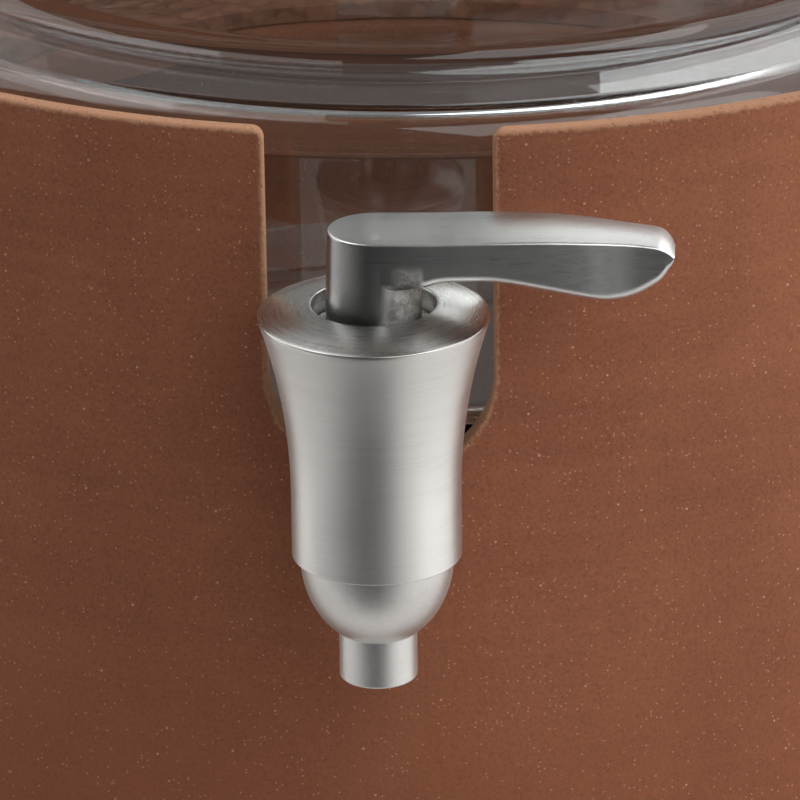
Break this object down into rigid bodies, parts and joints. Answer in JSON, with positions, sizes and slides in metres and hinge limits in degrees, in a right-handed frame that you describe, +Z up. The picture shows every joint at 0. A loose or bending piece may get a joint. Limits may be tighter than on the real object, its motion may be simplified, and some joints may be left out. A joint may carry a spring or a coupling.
{
  "type": "drink jar with tap",
  "caption": "Glass drink jar set into a notched terracotta stand, with a quarter-turn steel lever tap low on its front and a lift-off wooden lid.",
  "frame": {"origin": "centre of the stand's flat base, on the table and on the common axis of stand, jar and lid", "axes": "+Z up, -Y towards the front, where the tap stands out through the notch, +X along the closed lever"},
  "size_m": [0.236, 0.266, 0.431],
  "materials": {
    "terracotta": "unglazed fine clay, matt, with tiny pale specks",
    "cork": "pressed cork",
    "glass": "clear",
    "wood": "oiled hardwood",
    "steel": "satin, brushed round the body and along the lever",
    "silicone": "translucent white silicone",
    "seal_rubber": "black rubber",
    "fluoropolymer": "white, smooth"
  },
  "bodies": {
    "stand": {"terracotta_stand": "terracotta", "cork_seat_ring": "cork"},
    "jar": {"glass_jar": "glass", "tap_body": "steel", "outlet_bowl": "steel", "bowl_seal": "seal_rubber", "gland_ring": "steel", "inlet_seat": "fluoropolymer", "threaded_shank": "steel", "outer_gasket": "silicone", "inner_gasket": "silicone", "shank_washer": "steel", "shank_nut": "steel"},
    "tap_lever": {"lever": "steel", "lever_screw": "steel", "valve_plug": "steel", "plug_seal_upper": "seal_rubber", "plug_seal_lower": "seal_rubber"},
    "lid": {"lid": "wood", "lid_seal": "silicone", "lid_knob": "steel", "knob_screw": "steel"}
  },
  "joints": [
    {"name": "jar_lift", "type": "slide", "parent": "stand", "child": "jar", "axis": [0, 0, 1], "range_m": [0, 0.09]},
    {"name": "lid_lift", "type": "slide", "parent": "jar", "child": "lid", "axis": [0, 0, 1], "range_m": [0, 0.06]},
    {"name": "lever_turn", "type": "hinge", "parent": "jar", "child": "tap_lever", "pos_m": [0, -0.1315, 0.1867], "axis": [0, 0, 1], "range_deg": [-90, 0]}
  ]
}
